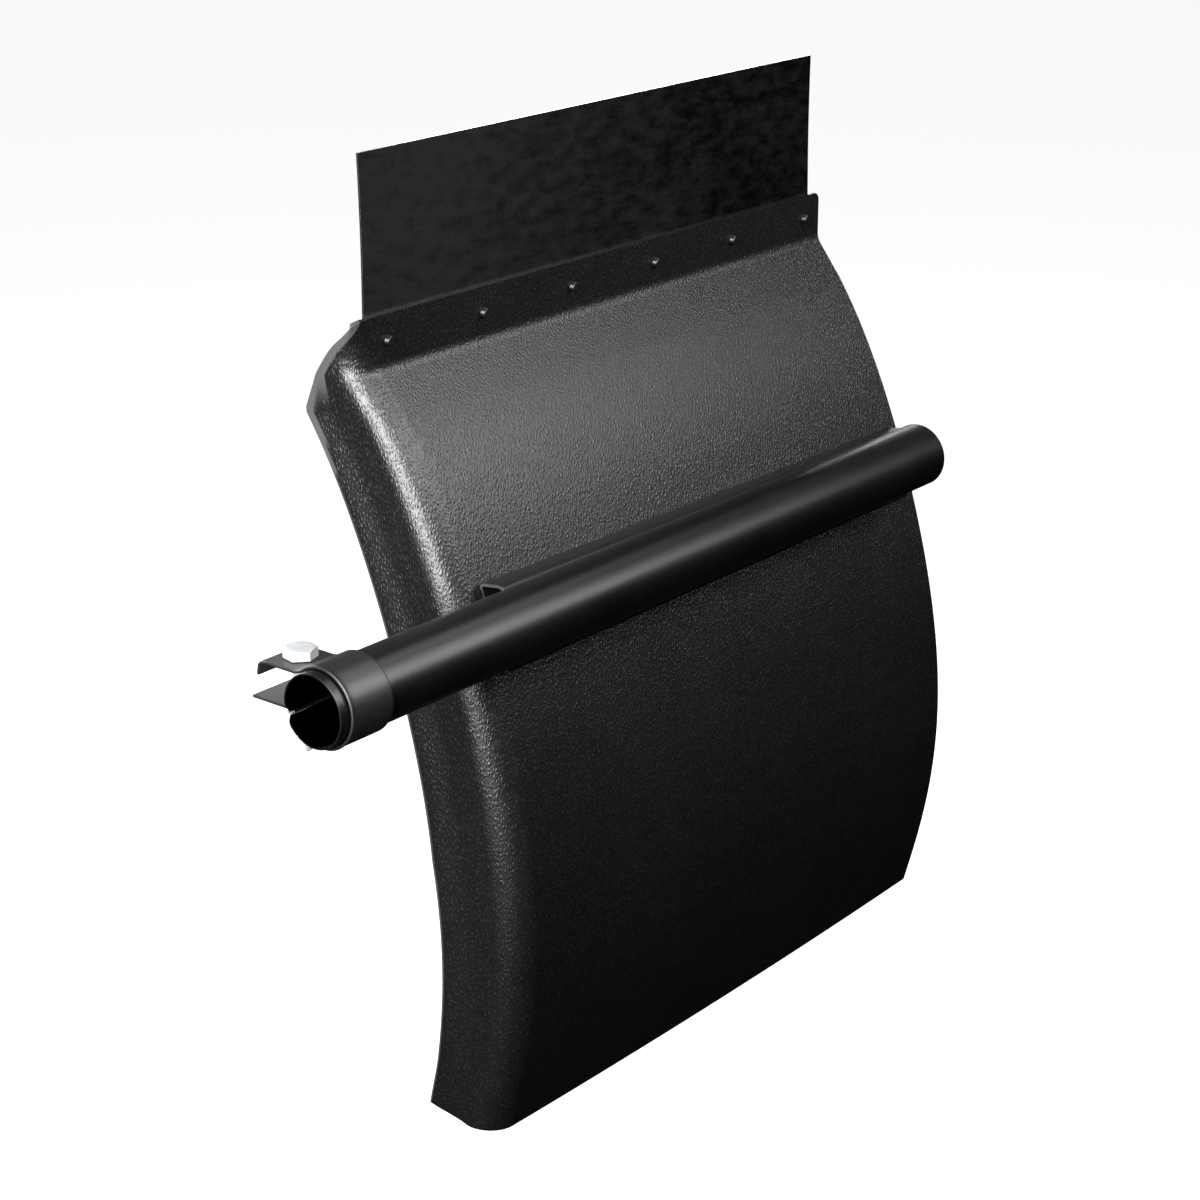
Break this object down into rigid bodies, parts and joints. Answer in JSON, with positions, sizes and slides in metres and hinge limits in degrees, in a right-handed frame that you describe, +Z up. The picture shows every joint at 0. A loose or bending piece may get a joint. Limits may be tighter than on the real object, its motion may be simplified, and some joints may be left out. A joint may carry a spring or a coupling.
{
  "type": "quarter-fender mud flap",
  "caption": "Moulded quarter-fender mud flap with a riveted top flap, carried on a round steel arm with a slotted, clamped open end.",
  "frame": {"origin": "centre of the mounting tube's open end, where the arm slides over the vehicle's stub", "axes": "+X along the tube from its open end to its far end, +Y back towards the tyre, +Z up"},
  "size_m": [0.816, 0.2353, 0.7892],
  "materials": {
    "panel_plastic": "satin black moulded plastic with a fine leather grain",
    "flap_sheet": "thin smooth black sheet, dull satin, faintly mottled",
    "rivet_nylon": "smooth black nylon",
    "tube_black": "satin black powder coat",
    "channel_black": "satin black powder coat, thin at the cut edges",
    "clamp_black": "satin black powder coat",
    "clamp_zinc": "bright zinc plate",
    "panel_fixings_zinc": "zinc plate"
  },
  "bodies": {
    "carrier": {"fender_panel": "panel_plastic", "flap_root": "flap_sheet", "push_rivet_1": "rivet_nylon", "push_rivet_2": "rivet_nylon", "push_rivet_3": "rivet_nylon", "push_rivet_4": "rivet_nylon", "push_rivet_5": "rivet_nylon", "push_rivet_6": "rivet_nylon", "bracket_channel": "channel_black", "panel_bolt_1": "panel_fixings_zinc", "panel_bolt_2": "panel_fixings_zinc", "panel_bolt_3": "panel_fixings_zinc", "panel_bolt_4": "panel_fixings_zinc", "panel_bolt_5": "panel_fixings_zinc", "panel_washer_1": "panel_fixings_zinc", "panel_washer_2": "panel_fixings_zinc", "panel_washer_3": "panel_fixings_zinc", "panel_washer_4": "panel_fixings_zinc", "panel_washer_5": "panel_fixings_zinc", "panel_nut_1": "panel_fixings_zinc", "panel_nut_2": "panel_fixings_zinc", "panel_nut_3": "panel_fixings_zinc", "panel_nut_4": "panel_fixings_zinc", "panel_nut_5": "panel_fixings_zinc", "mounting_tube": "tube_black"},
    "flap_leaf": {"flap_blade": "flap_sheet"},
    "clamp": {"clamp_band": "clamp_black", "clamp_bolt": "clamp_zinc"},
    "washers": {"clamp_flat_washer": "clamp_zinc", "clamp_lock_washer": "clamp_zinc"},
    "nut": {"clamp_nut": "clamp_zinc"}
  },
  "joints": [
    {"name": "flap_flex", "type": "hinge", "parent": "carrier", "child": "flap_leaf", "pos_m": [0.5, 0.1528, 0.2138], "axis": [1, 0, 0], "range_deg": [-60, 60], "stiffness_Nm_per_rad": 1.2},
    {"name": "clamp_turn", "type": "hinge", "parent": "carrier", "child": "clamp", "pos_m": [0.02925, 0, 0], "axis": [1, 0, 0], "continuous": true},
    {"name": "washer_slide", "type": "slide", "parent": "clamp", "child": "washers", "axis": [0, 0, -1], "range_m": [0, 0.018]},
    {"name": "nut_spin", "type": "hinge", "parent": "washers", "child": "nut", "pos_m": [0.03, 0.0402, -0.02], "axis": [0, 0, -1], "range_deg": [0, 3320]}
  ],
  "couplings": [
    {"joint": "nut_spin", "follows": "washer_slide", "rad_per_m": 3215.6}
  ]
}
